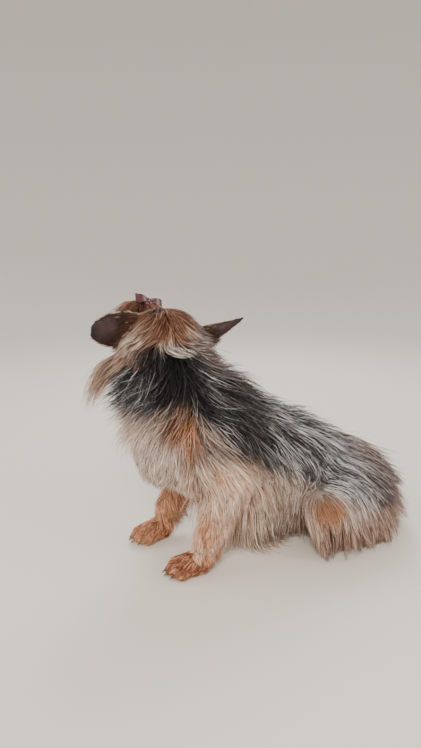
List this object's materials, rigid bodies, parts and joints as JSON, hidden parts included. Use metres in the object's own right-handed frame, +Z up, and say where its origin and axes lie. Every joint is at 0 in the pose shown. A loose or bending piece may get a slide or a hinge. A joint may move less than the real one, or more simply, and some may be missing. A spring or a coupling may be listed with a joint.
{
  "type": "yorkshire terrier",
  "caption": "Life-size sitting yorkshire terrier with a long parted coat, pricked ears and a ribbon in its topknot, head turned over its right shoulder.",
  "frame": {"origin": "middle of the bounding box in plan, on the floor that the dog sits on", "axes": "+Z up, the body faces -Y, and the dog's own left side is +X; the head is turned towards -X"},
  "size_m": [0.2138, 0.402, 0.3002],
  "materials": {
    "steel_coat": "long silky steel-grey hair with silver strands",
    "dark_coat": "long silky near-black hair with silver strands",
    "tan_coat": "tan and cream hair, stained reddish on the feet",
    "ear_skin": "thin dark skin with short hair",
    "dark_eye": "wet dark brown",
    "nose_leather": "fine pebbled, moist black",
    "rose_satin": "glossy dark rose satin ribbon",
    "band_rubber": "small elastic band"
  },
  "bodies": {
    "root": {"torso": "steel_coat", "tail": "steel_coat", "neck": "dark_coat", "head": "tan_coat", "topknot": "tan_coat", "foreleg_left": "tan_coat", "foreleg_right": "tan_coat", "forepaw_left": "tan_coat", "forepaw_right": "tan_coat", "hindleg_left": "tan_coat", "hindleg_right": "tan_coat", "hindpaw_left": "tan_coat", "hindpaw_right": "tan_coat", "ear_left": "ear_skin", "ear_right": "ear_skin", "eye_left": "dark_eye", "eye_right": "dark_eye", "nose": "nose_leather", "bow": "rose_satin", "topknot_band": "band_rubber"}
  },
  "joints": []
}
